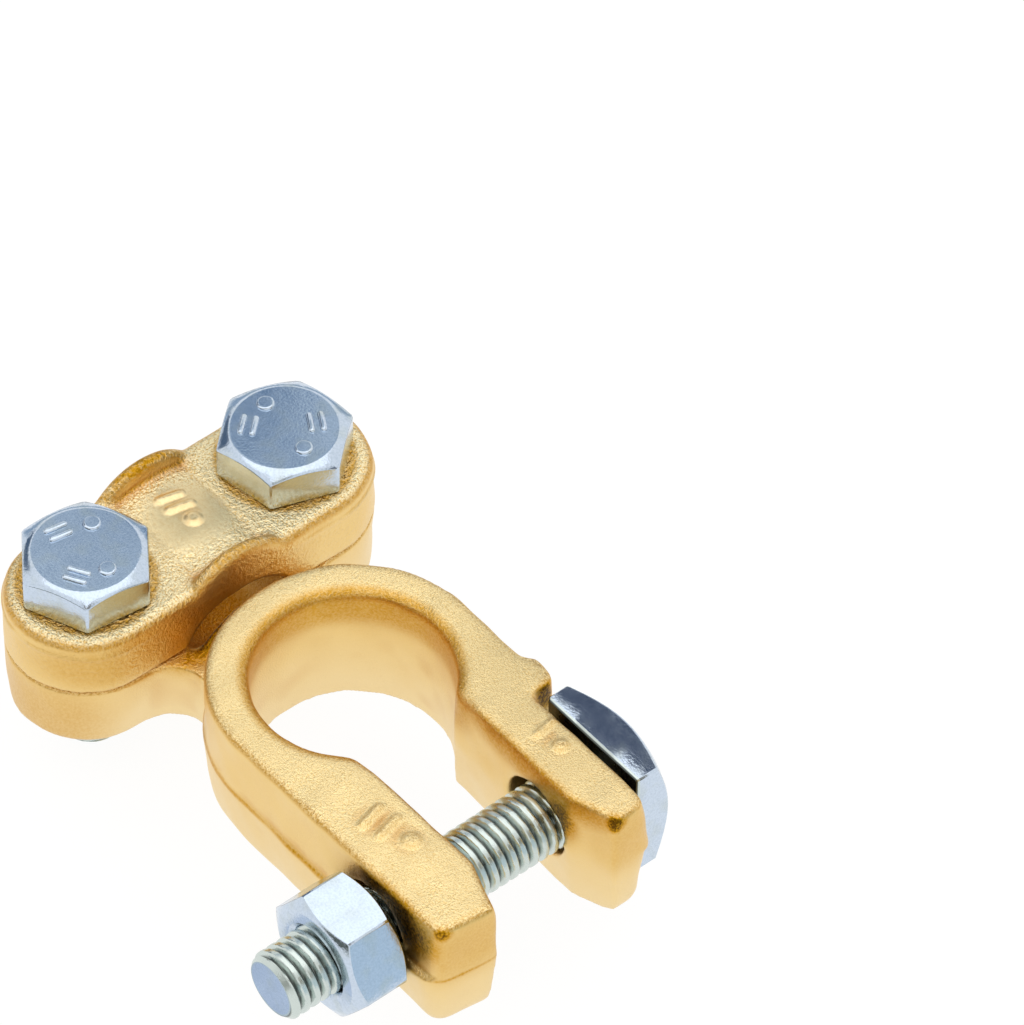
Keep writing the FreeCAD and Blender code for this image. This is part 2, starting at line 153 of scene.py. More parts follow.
@dataclass(frozen=True)
class CastBrass:
    """Cast brass: sparkling sand grain on upward faces, satin mould walls, painted shade in inner
    corners.

    Sizes are in millimetres. Real sand leaves finer marks too; these are as fine as still shows.
    """

    name: str = "cast_brass"
    # paler colour of the sand-cast upward faces, partly painted top light
    lit_top_colour: str = "#FBE2A8"
    wall_colour: str = "#EFCE89"
    grain_dark: str = "#DDAE55"
    edge_dark: str = "#A2701E"
    # painted shade in inner corners
    corner_shade_colour: str = "#C07A18"
    # painted reflection of the white table on the lower faces
    table_reflection_colour: str = "#F3DDAE"
    # tone of the stored patches: tarnish, mould seams and painted shade
    tarnish_and_shade_colour: str = "#CC9418"
    # darkest tone of the stored patches: grime and painted shade
    grime_and_shade_colour: str = "#4A2E08"
    top_roughness: float = 0.34
    wall_roughness: float = 0.36
    grain_size: float = 0.22
    fine_grain_size: float = 0.11
    grain_rise: float = 0.07
    fine_grain_rise: float = 0.035
    # strength of the painted shade on rounded upper edges
    edge_shade: float = 0.5
    pit_share: float = 0.5
    stain_size: float = 3.5

    def build(self) -> Material:
        """Build the material.

        Returns:
            The finished material.
        """
        material, tree = new_material(self.name)
        coords = add_node(tree, "ShaderNodeTexCoord").outputs
        place = coords["Object"]
        lift, height = (add_node(tree, "ShaderNodeSeparateXYZ", inputs={0: way}).outputs["Z"]
                        for way in (coords["Normal"], place))
        grain, fine, blotch = (
            add_node(tree, "ShaderNodeTexNoise", inputs={
                "Vector": place, "Scale": 1 / (size * MM), "Detail": detail, "Roughness": breakup,
            }).outputs["Fac"]
            for size, detail, breakup in (
                (self.grain_size, 2.0, 0.6),
                (self.fine_grain_size, 2.0, 0.5),
                (self.stain_size, 3.0, 0.5),
            ))
        share = {
            name: add_node(tree, "ShaderNodeAttribute", {"attribute_name": name}).outputs["Fac"]
            for name in ("bulge", "polish", "tarnish_and_shade")}
        # the upper mould half leaves its grain only where the metal faces up
        share["facing"] = add_node(tree, "ShaderNodeMapRange", {"interpolation_type": "SMOOTHSTEP"},
                                   {"Value": lift, "From Min": 0.2, "From Max": 0.7}).outputs[0]
        share["rough_cast"] = add_node(tree, "ShaderNodeMath", {"operation": "SUBTRACT"},
                                       {0: 1.0, 1: share["polish"]}).outputs[0]
        share["top"] = add_node(tree, "ShaderNodeMath", {"operation": "MULTIPLY"},
                                {0: share["facing"], 1: share["rough_cast"]}).outputs[0]
        ranges = {
            # painted reflection of the white table: paler towards the bottom
            "table_reflection": (height, 7.5 * MM, 1.5 * MM, 0.0, 0.6),
            # darker gold between the grains
            "pits": (fine, 0.52, 0.38, 0.0, self.pit_share),
            # outer edges, which the grain breaks up into dark specks
            "edge": (share["bulge"], 0.3, 0.95, 0.0, 0.55),
            "speck": (grain, 0.58, 0.42, 0.0, 1.0),
            # painted shade in inner corners and at the feet of the raised marks
            "corner": (share["bulge"], -0.08, -0.7, 0.0, 0.85),
            # painted shade: rounded upper edges darker than the flat top
            "slope_in": (lift, 0.1, 0.4, 0.0, 1.0),
            "slope_out": (lift, 0.96, 0.75, 0.0, self.edge_shade),
            "patchy": (grain, 0.35, 0.65, 1.15, 0.75),
            "finish": (share["top"], 0.0, 1.0, self.wall_roughness, self.top_roughness),
            "cloudy": (blotch, 0.3, 0.7, -0.05, 0.06),
            "sandy": (share["top"], 0.0, 1.0, 0.42, 0.9),
        }
        for name, row in ranges.items():
            share[name] = add_node(tree, "ShaderNodeMapRange",
                                   inputs=dict(zip(RANGE, row))).outputs[0]
        for name, operation, first, second in (
            ("pitted", "MULTIPLY", "pits", "top"),
            ("upper_edge", "MULTIPLY", "edge", "facing"),
            ("specked", "MULTIPLY", "upper_edge", "speck"),
            ("slope", "MULTIPLY", "slope_in", "slope_out"),
            # deeper, browner tone from the stored patches of tarnish, mould seams and painted
            # shade, and from the painted shade of rounded edges
            ("tone", "MAXIMUM", "tarnish_and_shade", "slope"),
            ("tarnished_and_shaded", "MULTIPLY", "tone", "patchy"),
            ("roughness", "ADD", "finish", "cloudy"),
            ("bump", "MULTIPLY", "sandy", "rough_cast"),
        ):
            share[name] = add_node(tree, "ShaderNodeMath", {"operation": operation},
                                   {0: share[first], 1: share[second]}).outputs[0]
        # where that tone runs past full it turns to the darkest colour, grime and painted shade
        # alike
        share["grime_and_shade"] = add_node(tree, "ShaderNodeMapRange", inputs=dict(
            zip(RANGE, (share["tarnished_and_shaded"], 0.95, 1.5, 0.0, 0.9)))).outputs[0]
        colour: Any = linear(self.wall_colour)
        for name, tone in (
            ("table_reflection", self.table_reflection_colour), ("facing", self.lit_top_colour), ("pitted", self.grain_dark),
            ("specked", self.edge_dark), ("corner", self.corner_shade_colour),
            ("tarnished_and_shaded", self.tarnish_and_shade_colour), ("grime_and_shade", self.grime_and_shade_colour),
        ):
            colour = add_node(tree, "ShaderNodeMix", {"data_type": "RGBA"},
                              {0: share[name], 6: colour, 7: linear(tone)}).outputs[2]
        grain_bump = add_node(tree, "ShaderNodeBump", inputs={
            "Height": grain, "Strength": share["bump"],
            "Distance": self.grain_rise * MM}).outputs[0]
        bump = add_node(tree, "ShaderNodeBump", inputs={
            "Height": fine, "Strength": share["bump"], "Distance": self.fine_grain_rise * MM,
            "Normal": grain_bump}).outputs[0]
        shader = add_node(tree, "ShaderNodeBsdfPrincipled", inputs={
            "Base Color": colour, "Metallic": 1.0, "Roughness": share["roughness"], "Normal": bump})
        add_node(tree, "ShaderNodeOutputMaterial", inputs={"Surface": shader.outputs[0]})
        return material


@dataclass(frozen=True)
class ZincPlate:
    """Zinc plated steel: bright, faintly blue metal with a soft haze and olive traces.

    Sizes are in millimetres. The plating's crystals are far finer than the grit, which is
    drawn as coarse as it needs to show.
    """

    name: str = "zinc_plated_steel"
    colour: str = "#CAD7E6"
    haze_colour: str = "#BFC7BC"
    speck_colour: str = "#93A5B8"
    thread_colour: str = "#CDD7D2"
    # painted shade in the thread roots and along the seats of the heads
    valley_shade_colour: str = "#1E241E"
    roughness: float = 0.17
    thread_dulling: float = 0.1
    haze_size: float = 1.6
    grit_size: float = 0.2
    dent_rise: float = 0.2
    grit_rise: float = 0.02

    def build(self) -> Material:
        """Build the material.

        Returns:
            The finished material.
        """
        material, tree = new_material(self.name)
        place = add_node(tree, "ShaderNodeTexCoord").outputs["Object"]
        haze, grit = (
            add_node(tree, "ShaderNodeTexNoise", inputs={
                "Vector": place, "Scale": 1 / (size * MM), "Detail": detail}).outputs["Fac"]
            for size, detail in ((self.haze_size, 1.5), (self.grit_size, 2.0)))
        valley_shade = add_node(tree, "ShaderNodeAttribute", {"attribute_name": "valley_shade"}).outputs["Fac"]
        ranges = {
            "haze": (haze, 0.5, 0.72, 0.0, 0.35),
            # fine darker specks of the passivated surface
            "speck": (grit, 0.4, 0.72, 0.0, 0.24),
            "thread": (valley_shade, 0.0, 0.2, 0.0, 1.0),
            # painted shade at the root of the thread and along the seat of each head
            "valley_shade": (valley_shade, 0.8, 1.2, 0.0, 0.85),
            "finish": (haze, 0.3, 0.7, self.roughness - 0.04, self.roughness + 0.05),
        }
        share = {name: add_node(tree, "ShaderNodeMapRange", inputs=dict(zip(RANGE, row))).outputs[0]
                 for name, row in ranges.items()}
        colour: Any = linear(self.colour)
        for name, tone in (("haze", self.haze_colour), ("speck", self.speck_colour),
                           ("thread", self.thread_colour), ("valley_shade", self.valley_shade_colour)):
            colour = add_node(tree, "ShaderNodeMix", {"data_type": "RGBA"},
                              {0: share[name], 6: colour, 7: linear(tone)}).outputs[2]
        # rolled threads are duller than the pressed heads
        roughness = add_node(tree, "ShaderNodeMath", {"operation": "MULTIPLY_ADD"}, {
            0: share["thread"], 1: self.thread_dulling, 2: share["finish"]}).outputs[0]
        # shallow hollows that the rolled steel keeps under its plating
        dents = add_node(tree, "ShaderNodeBump", inputs={
            "Height": haze, "Strength": 0.08, "Distance": self.dent_rise * MM}).outputs[0]
        bump = add_node(tree, "ShaderNodeBump", inputs={
            "Height": grit, "Strength": 0.5, "Distance": self.grit_rise * MM,
            "Normal": dents}).outputs[0]
        shader = add_node(tree, "ShaderNodeBsdfPrincipled", inputs={
            "Base Color": colour, "Metallic": 1.0, "Roughness": roughness, "Normal": bump})
        add_node(tree, "ShaderNodeOutputMaterial", inputs={"Surface": shader.outputs[0]})
        return material


@dataclass(frozen=True)
class RaisedMark:
    """One round-ended bar or boss that stands up from a face; a boss has no length."""

    x: float
    y: float
    length: float
    width: float
    turn: float
    steps: int = 6
    shoulder_inset: float = 0.35
    shoulder_drop: float = 0.3

    def outline(self, inset: float, height: float) -> list[Vector]:
        """Outline of the mark at one height.

        Args:
            inset: how far the outline is pulled in, in millimetres.
            height: height of the outline, in millimetres.

        Returns:
            Points round the outline, in metres.
        """
        radius = self.width / 2 - inset
        points = []
        for end in (1, -1):
            for step in range(self.steps + 1):
                angle = math.pi * (step / self.steps - 0.5) + (0 if end > 0 else math.pi)
                along = end * self.length / 2 + radius * math.cos(angle)
                across = radius * math.sin(angle)
                turned = Matrix.Rotation(math.radians(self.turn), 2) @ Vector((along, across))
                points.append(Vector((self.x + turned.x, self.y + turned.y, height)) * MM)
        return points

    def share_at(self, points: np.ndarray, blur: float) -> np.ndarray:
        """Share of the mark's full rise over points of a casting.

        Args:
            points: x and y of the points, in millimetres.
            blur: width over which the cast mark rises, in millimetres.

        Returns:
            Values from 0, beside the mark, to 1, on its crown.
        """
        angle = math.radians(self.turn)
        way = np.array([math.cos(angle), math.sin(angle)])
        offset = points - np.array([self.x, self.y])
        along = np.clip(offset @ way, -self.length / 2, self.length / 2)
        gap = np.linalg.norm(offset - along[:, None] * way, axis=1) - self.width / 2
        share = np.clip(0.5 - gap / blur, 0, 1)
        return share * share * (3 - 2 * share)

    def add_to(self, mesh: BMesh, low: float, high: float, edge: float) -> None:
        """Add the mark as a closed solid.

        Args:
            mesh: mesh that takes the solid.
            low: height of its foot, in millimetres.
            high: height of its top, in millimetres.
            edge: rounding of its top edge, in millimetres.
        """
        shoulder = self.outline(edge * self.shoulder_inset, high - edge * self.shoulder_drop)
        add_rings(mesh, [self.outline(0, low), self.outline(0, high - edge), shoulder,
                         self.outline(edge, high)])


def add_rings(mesh: BMesh, rings: list[list[Vector]], ringed: bool = False) -> None:
    """Skin rings of equal count into a closed solid.

    Args:
        mesh: mesh that takes the faces.
        rings: closed rings of points, from one end to the other.
        ringed: join the last ring to the first in place of closing both ends.
    """
    loops = [[mesh.verts.new(point) for point in ring] for ring in rings]
    pairs = list(zip(loops, loops[1:]))
    if ringed:
        pairs.append((loops[-1], loops[0]))
    else:
        mesh.faces.new(loops[0][::-1])
        mesh.faces.new(loops[-1])
    count = len(rings[0])
    for lower, upper in pairs:
        for i in range(count):
            k = (i + 1) % count
            mesh.faces.new((lower[i], lower[k], upper[k], upper[i]))


def mesh_data(work: BMesh, name: str) -> Mesh:
    """Turn a working mesh to mesh data, and free it."""
    data = bpy.data.meshes.new(name)
    work.to_mesh(data)
    work.free()
    return data


def outward_mesh(work: BMesh, name: str) -> Mesh:
    """Turn a working mesh to mesh data with its faces pointing outwards, and free it."""
    bmesh.ops.recalc_face_normals(work, faces=work.faces[:])
    return mesh_data(work, name)


def new_object(name: str, data: ID) -> Object:
    """Link a new object into the scene at the origin."""
    piece = bpy.data.objects.new(name, data)
    bpy.context.scene.collection.objects.link(piece)
    return piece


def evaluated_mesh(piece: Object) -> Mesh:
    """Mesh of an object with its modifiers applied, as new mesh data."""
    bpy.context.view_layer.update()
    graph = bpy.context.evaluated_depsgraph_get()
    return bpy.data.meshes.new_from_object(piece.evaluated_get(graph), depsgraph=graph)


def dress(data: Mesh, finish: Material) -> None:
    """Give mesh data one finish over all its faces, and smooth shading."""
    data.materials.clear()
    data.materials.append(finish)
    data.polygons.foreach_set("material_index", [0] * len(data.polygons))
    data.polygons.foreach_set("use_smooth", [True] * len(data.polygons))


@dataclass
class Thread:
    """Rolled M6 thread: a helical ridge along a shank, made by a node tree."""

    length: float
    material: Material
    crest: float = 2.95
    depth: float = 0.44
    pitch: float = 1.0
    chamfer: float = 0.5
    flank_top: float = 0.19
    flank_foot: float = 0.46
    cap_inset: float = 0.4
    around: int = 48
    rows_per_turn: int = 12

    def inputs(self) -> dict[str, Any]:
        """Value of each input of the node tree, with lengths in metres."""
        return {"Length": self.length * MM, "Crest Radius": self.crest * MM,
                "Depth": self.depth * MM, "Pitch": self.pitch * MM, "Chamfer": self.chamfer * MM,
                "Flank Top": self.flank_top, "Flank Foot": self.flank_foot,
                "Around": self.around + 1,
                "Rows": int(self.length / self.pitch * self.rows_per_turn),
                "Material": self.material}

    def tree(self) -> tuple[NodeTree, dict[str, str]]:
        """Build the node tree.

        Returns:
            The tree, and the identifier of each named input.
        """
        tree = bpy.data.node_groups.new("rolled_thread", "GeometryNodeTree")
        kinds = {float: "Float", int: "Int", Material: "Material"}
        names = {}
        for name, size in self.inputs().items():
            names[name] = tree.interface.new_socket(
                name=name, in_out="INPUT", socket_type=f"NodeSocket{kinds[type(size)]}").identifier
        tree.interface.new_socket(name="Thread", in_out="OUTPUT", socket_type="NodeSocketGeometry")
        given = add_node(tree, "NodeGroupInput").outputs
        sheet = add_node(tree, "GeometryNodeMeshGrid", inputs={
            "Size X": 1.0, "Size Y": 1.0,
            "Vertices X": given["Around"], "Vertices Y": given["Rows"]}).outputs["Mesh"]
        place = add_node(tree, "GeometryNodeInputPosition").outputs[0]
        parts = add_node(tree, "ShaderNodeSeparateXYZ", inputs={0: place}).outputs
        value = {name: given[name] for name in names} | {"u": parts["X"], "v": parts["Y"]}
        for name, operation, first, second in (
            ("angle", "MULTIPLY", "u", 2 * math.pi),
            ("share", "SUBTRACT", "v", 0.5),
            ("height", "MULTIPLY", "share", "Length"),
            ("turns", "DIVIDE", "height", "Pitch"),
            ("phase", "SUBTRACT", "turns", "u"),
            ("wave", "PINGPONG", "phase", 0.5),
            # the end of the shank is chamfered at forty-five degrees
            ("from_end", "ADD", "height", "Length"),
            ("narrow", "SUBTRACT", "Crest Radius", "Chamfer"),
            ("limit", "ADD", "narrow", "from_end"),
        ):
            value[name] = add_node(tree, "ShaderNodeMath", {"operation": operation}, {
                0: value.get(first, first), 1: value.get(second, second)}).outputs[0]
        # flat root, straight flanks and a slightly rounded crest
        value["rise"] = add_node(tree, "ShaderNodeMapRange", {"interpolation_type": "SMOOTHSTEP"}, {
            "Value": value["wave"], "From Min": given["Flank Top"],
            "From Max": given["Flank Foot"]}).outputs[0]
        for name, operation, first, second in (
            ("drop", "MULTIPLY", "rise", "Depth"),
            ("ridge", "SUBTRACT", "Crest Radius", "drop"),
            ("radius", "MINIMUM", "ridge", "limit"),
            ("cosine", "COSINE", "angle", 0.0),
            ("sine", "SINE", "angle", 0.0),
            ("x", "MULTIPLY", "cosine", "radius"),
            ("y", "MULTIPLY", "sine", "radius"),
            # 0.2 marks the crest, so that 0 is left for heads and nuts
            ("valley_shade", "ADD", "rise", 0.2),
        ):
            value[name] = add_node(tree, "ShaderNodeMath", {"operation": operation}, {
                0: value.get(first, first), 1: value.get(second, second)}).outputs[0]
        spot = add_node(tree, "ShaderNodeCombineXYZ", inputs={
            0: value["x"], 1: value["y"], 2: value["height"]}).outputs[0]
        thread = sheet
        # the stored value also places the painted shade at the root of the thread
        for kind, settings, inputs in (
            ("GeometryNodeStoreNamedAttribute", {"data_type": "FLOAT"},
             {"Name": "valley_shade", "Value": value["valley_shade"]}),
            ("GeometryNodeSetPosition", {}, {"Position": spot}),
            ("GeometryNodeMergeByDistance", {}, {"Distance": TOUCH}),
            ("GeometryNodeRealizeInstances", {}, {}),
            ("GeometryNodeSetMaterial", {}, {"Material": given["Material"]}),
        ):
            thread = add_node(tree, kind, settings, {"Geometry": thread, **inputs}).outputs[0]
        add_node(tree, "NodeGroupOutput", inputs={"Thread": thread})
        return tree, names

    def mesh(self) -> Mesh:
        """Run the tree once and close both ends of the shank.

        Returns:
            The thread's mesh from z = 0 down, in metres.
        """
        tree, names = self.tree()
        carrier = new_object("thread_carrier", bpy.data.meshes.new("thread_carrier"))
        modifier = carrier.modifiers.new("thread", "NODES")
        modifier.node_group = tree
        for name, value in self.inputs().items():
            modifier[names[name]] = value
        rolled = evaluated_mesh(carrier)
        bpy.data.objects.remove(carrier)
        work = bmesh.new()
        work.from_mesh(rolled)
        bmesh.ops.remove_doubles(work, verts=work.verts[:], dist=SEAM)
        caps = bmesh.ops.holes_fill(work, edges=work.edges[:], sides=0)["faces"]
        bmesh.ops.inset_region(work, faces=caps, thickness=self.chamfer * self.cap_inset * MM)
        bare = work.verts.layers.float["valley_shade"]
        for vert in {vert for cap in caps for vert in cap.verts}:
            vert[bare] = 0.0
        return outward_mesh(work, "thread")


@dataclass
class Head:
    """Hexagon or square, turned down by a cone on its top face."""

    sides: int
    across: float
    height: float
    circle: float
    slope: float
    turn: float
    marks: list[RaisedMark] = field(default_factory=list)
    mark_rise: float = 0.26
    mark_edge: float = 0.21
    mark_foot: float = 0.3
    chamfer_below: bool = False
    hole: float = 0.0
    hole_lead: float = 0.4
    edge: float = 0.1
    edge_drop: float = 0.7
    rim: float = 0.16
    rim_inset: float = 0.1
    rim_drop: float = 0.13
    seat_edge: float = 0.22
    foot_shadow: float = 1.7
    corner_share: float = 0.985
    flat_steps: int = 10
    corner_steps: int = 4

    def radii(self) -> list[tuple[float, float]]:
        """Angle and wall distance of each point round the outline, in radians and millimetres."""
        half = math.pi / self.sides
        flat = self.across / 2
        limit = flat / math.cos(half) * self.corner_share
        reach = math.acos(flat / limit)
        spread = [(-reach + 2 * reach * i / self.flat_steps, None)
                  for i in range(self.flat_steps + 1)]
        spread += [(reach + (2 * half - 2 * reach) * i / self.corner_steps, limit)
                   for i in range(1, self.corner_steps)]
        found = []
        for side in range(self.sides):
            middle = math.radians(self.turn) + half + 2 * half * side
            for offset, radius in spread:
                found.append((middle + offset, radius or flat / math.cos(offset)))
        return found

    def ring(self, distance: Any, height: Any) -> list[Vector]:
        """Ring of points whose distance and height follow the wall distance at each angle.

        Args:
            distance: function from wall distance to the point's distance.
            height: function from wall distance to the point's height.

        Returns:
            Points in metres.
        """
        return [Vector((distance(r) * math.cos(a), distance(r) * math.sin(a), height(r))) * MM
                for a, r in self.radii()]

    def mesh(self) -> Mesh:
        """Head from z = 0 up, with its marks, in metres."""
        top = self.height - (self.mark_rise if self.marks else 0)
        edge, drop = self.edge, self.edge * self.edge_drop
        rings = [
            self.ring(lambda r: self.circle - self.rim, lambda r: top),
            self.ring(lambda r: self.circle - self.rim * self.rim_inset,
                      lambda r: top - self.rim * self.rim_drop),
            self.ring(lambda r: self.circle + self.rim, lambda r: top - self.rim * self.slope),
            self.ring(lambda r: r - edge, lambda r: top - (r - edge - self.circle) * self.slope),
            self.ring(lambda r: r, lambda r: top - (r - self.circle) * self.slope - drop),
        ]
        if self.chamfer_below:
            rings += [
                self.ring(lambda r: r, lambda r: (r - self.circle) * self.slope + drop),
                self.ring(lambda r: r - edge, lambda r: (r - edge - self.circle) * self.slope),
                self.ring(lambda r: self.circle, lambda r: 0),
            ]
        else:
            rings += [self.ring(lambda r: r, lambda r: self.seat_edge),
                      self.ring(lambda r: r - self.seat_edge, lambda r: 0)]
        if self.hole:
            lead = self.hole + self.hole_lead
            rings = ([self.ring(lambda r: lead, lambda r: top)] + rings
                     + [self.ring(lambda r: lead, lambda r: 0),
                        self.ring(lambda r: self.hole, lambda r: self.hole_lead),
                        self.ring(lambda r: self.hole, lambda r: top - self.hole_lead)])
        work = bmesh.new()
        add_rings(work, rings, ringed=bool(self.hole))
        for mark in self.marks:
            mark.add_to(work, top - self.mark_foot, top + self.mark_rise, self.mark_edge)
        foot = work.verts.layers.float.new("valley_shade")
        for vert in work.verts:
            # painted contact shadow along the seat, in the colour of the thread's root
            vert[foot] = self.foot_shadow if abs(vert.co.z) < TOUCH else 0.0
        return outward_mesh(work, "head")


@dataclass
class Fastener:
    """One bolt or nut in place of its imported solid."""

    node: str
    axis: Axis
    seat: Triple
    head: Head
    finish: Material
    thread: Thread | None = None
    sharp_angle: float = 42.0

    def build(self) -> None:
        """Join head and thread into one finished piece that rides on its body."""
        work = bmesh.new()
        for data in ([self.thread.mesh()] if self.thread else []) + [self.head.mesh()]:
            work.from_mesh(data)
            bpy.data.meshes.remove(data)
        place = self.axis.matrix(Vector(self.seat) * MM)
        bmesh.ops.transform(work, matrix=place, verts=work.verts[:])
        data = mesh_data(work, self.node)
        dress(data, self.finish)
        data.set_sharp_from_angle(angle=math.radians(self.sharp_angle))
        piece = new_object(f"{self.node}_finished", data)
        weights = piece.modifiers.new("weighted_normals", "WEIGHTED_NORMAL")
        weights.keep_sharp = True
        piece.data = evaluated_mesh(piece)
        piece.modifiers.clear()
        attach(piece, self.node)
        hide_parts(self.node)
        LOG.info("%s: %d faces", piece.name, len(piece.data.polygons))


@dataclass(frozen=True)
class SoftZone:
    """Upright cylinder in which a casting's edges are rounder or sharper than elsewhere."""

    x: float
    y: float
    radius: float
    low: float
    high: float
    share: float = 1.0

    def holds(self, points: np.ndarray) -> np.ndarray:
        """Tell which points, in millimetres, lie in the zone."""
        reach = np.hypot(points[:, 0] - self.x, points[:, 1] - self.y)
        return (reach < self.radius) & (points[:, 2] > self.low) & (points[:, 2] < self.high)


@dataclass(frozen=True)
class StainAndShade:
    """Soft-edged patch of deeper tone, round a point or along an upright circle, for tarnish, mould
    seams and painted shade.
    """

    centre: Triple
    reach: Triple
    strength: float
    facing: Triple = (0.0, 0.0, 0.0)
    circle: float = 0.0
    facing_gain: float = 1.4

    def share_at(self, points: np.ndarray, normals: np.ndarray) -> np.ndarray:
        """Share of the deeper tone.

        On a circle, x counts outwards from it, also for the way the stain faces.

        Args:
            points: positions in millimetres.
            normals: outward normals.

        Returns:
            Values from 0 to the stain's strength.
        """
        offset = points - np.array(self.centre)
        if self.circle:
            around = np.maximum(np.hypot(offset[:, 0], offset[:, 1]), 1e-6)
            outward = (normals[:, :2] * offset[:, :2]).sum(axis=1) / around
            normals = np.stack([outward, 0 * outward, normals[:, 2]], axis=1)
            offset[:, 0] = around - self.circle
            offset[:, 1] = 0
        share = self.strength * np.exp(-((offset / np.array(self.reach)) ** 2).sum(axis=1) ** 2)
        if any(self.facing):
            share *= np.clip(self.facing_gain * (normals @ np.array(self.facing)), 0, 1)
        return share


@dataclass
class Casting:
    """One brass casting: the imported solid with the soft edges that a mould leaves."""

    node: str
    finish: Material
    cell: float
    marks: list[tuple[RaisedMark, float]]
    face: tuple[float, float]
    seams: list[float] = field(default_factory=list)
    soft_zones: list[SoftZone] = field(default_factory=list)
    polished: list[SoftZone] = field(default_factory=list)
    stains_and_shades: list[StainAndShade] = field(default_factory=list)
    edge_share: float = 0.16
    passes: int = 32
    spread: int = 10
    waves: int = 10
    wave_rise: float = 0.012
    wave_lengths: tuple[float, float] = (2.5, 6.5)
    upright_from: float = 0.8
    mark_blur: float = 0.4
    seam_rise: float = 0.12
    seam_width: float = 0.16
    relief_room: float = 0.4
    zone_pull: float = 0.7
    edge_pull: float = 0.6
    bulge_pull: float = 0.8
    bulge_passes: int = 4
    polish_passes: int = 40
    full_bulge: float = 0.1
    full_polish: float = 0.85
    seed: int = 7

    def solid(self) -> Mesh:
        """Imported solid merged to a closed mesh."""
        work = bmesh.new()
        work.from_mesh(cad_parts[self.node].data)
        bmesh.ops.remove_doubles(work, verts=work.verts[:], dist=TOUCH)
        return outward_mesh(work, self.node)

    def remeshed(self) -> Mesh:
        """Even mesh over the solid."""
        carrier = new_object("casting_carrier", self.solid())
        remesh = carrier.modifiers.new("even", "REMESH")
        remesh.mode = "VOXEL"
        remesh.voxel_size = self.cell * MM
        data = evaluated_mesh(carrier)
        bpy.data.objects.remove(carrier)
        return data

    @staticmethod
    def read(data: Mesh, name: str) -> np.ndarray:
        """Read positions or normals of all points of a mesh, one row each."""
        values = np.empty(len(data.vertices) * 3)
        data.vertices.foreach_get(name, values)
        return values.reshape(-1, 3)

    @staticmethod
    def move(data: Mesh, points: np.ndarray) -> np.ndarray:
        """Move all points of a mesh, given in millimetres, and read its new normals."""
        data.vertices.foreach_set("co", (points * MM).ravel())
        data.update()
        return Casting.read(data, "normal")

    @staticmethod
    def smoothed(values: np.ndarray, edges: np.ndarray, pull: Any, passes: int) -> np.ndarray:
        """Draw the value at every point towards the mean of its neighbours, over and over.

        Args:
            values: values at the points, one number or one row each.
            edges: pairs of neighbours.
            pull: share of the way to the mean, one for all or a column with one for each point.
            passes: how often it is done.

        Returns:
            The smoothed values.
        """
        columns = values.reshape(len(values), -1)
        counts = np.bincount(edges.ravel(), minlength=len(values)).astype(float)[:, None]
        for _ in range(passes):
            total = np.stack([
                np.bincount(edges[:, 0], column[edges[:, 1]], len(values))
                + np.bincount(edges[:, 1], column[edges[:, 0]], len(values))
                for column in columns.T], axis=1)
            columns = columns + pull * (total / counts - columns)
        return columns.reshape(values.shape)

    def relief(self, points: np.ndarray, normals: np.ndarray) -> np.ndarray:
        """Height of marks, seams and waves over the softened solid.

        Args:
            points: positions in millimetres.
            normals: outward normals.

        Returns:
            Offset along the normal of each point, in millimetres.
        """
        draw = np.random.default_rng(self.seed)
        rise = np.zeros(len(points))
        for _ in range(self.waves):
            way = draw.normal(size=3)
            way *= 2 * math.pi / draw.uniform(*self.wave_lengths) / np.linalg.norm(way)
            rise += self.wave_rise * np.sin(points @ way + draw.uniform(0, 2 * math.pi))
        level, (low, high) = points[:, 2], self.face
        upright = (normals[:, 2] > self.upright_from) & (level > low) & (level < high)
        for mark, height in self.marks:
            rise += np.where(upright, height * mark.share_at(points[:, :2], self.mark_blur), 0)
        wall = np.clip(1 - 2 * np.abs(normals[:, 2]), 0, 1)
        for seam in self.seams:
            rise += self.seam_rise * wall * np.exp(-((level - seam) / self.seam_width) ** 2)
        return rise

    def soften(self, data: Mesh) -> None:
        """Round the edges, raise the relief and store how much each point bulges.

        Args:
            data: even mesh, changed in place.
        """
        points = self.read(data, "co") / MM
        edges = np.empty(len(data.edges) * 2, int)
        data.edges.foreach_get("vertices", edges)
        edges = edges.reshape(-1, 2)
        share = np.full(len(points), self.edge_share)
        for zone in self.soft_zones:
            share[zone.holds(points)] = zone.share
        share = self.smoothed(share, edges, self.zone_pull, self.spread)
        points = self.smoothed(points, edges, self.edge_pull * share[:, None], self.passes)
        normals = self.move(data, points)
        points += self.relief(points, normals)[:, None] * normals
        low, high = (np.array(corner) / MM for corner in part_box(self.node))
        high[2] += self.relief_room
        points = np.clip(points, low, high)
        normals = self.move(data, points)
        blurred = self.smoothed(points, edges, self.edge_pull, self.spread)
        bulge = ((points - blurred) * normals).sum(axis=1) / self.full_bulge
        polish = np.zeros(len(points))
        for zone in self.polished:
            polish[zone.holds(points)] = self.full_polish
        # tarnish, mould seams and painted shade, each stored as a patch
        tarnish_and_shade = np.zeros(len(points))
        for blotch in self.stains_and_shades:
            tarnish_and_shade = np.maximum(tarnish_and_shade, blotch.share_at(points, normals))
        bulge = self.smoothed(bulge, edges, self.bulge_pull, self.bulge_passes)
        stored = {
            "bulge": np.clip(bulge, -1, 1),
            "polish": self.smoothed(polish, edges, self.zone_pull, self.polish_passes),
            "tarnish_and_shade": tarnish_and_shade,
        }
        for name, values in stored.items():
            layer = data.attributes.new(name, "FLOAT", "POINT")
            layer.data.foreach_set("value", values.astype(np.float32))

    def build(self) -> None:
        """Make the finished casting, which rides on its body."""
        data = self.remeshed()
        self.soften(data)
        dress(data, self.finish)
        piece = new_object(f"{self.node}_finished", data)
        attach(piece, self.node)
        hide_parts(self.node)
        LOG.info("%s: %d faces", piece.name, len(data.polygons))


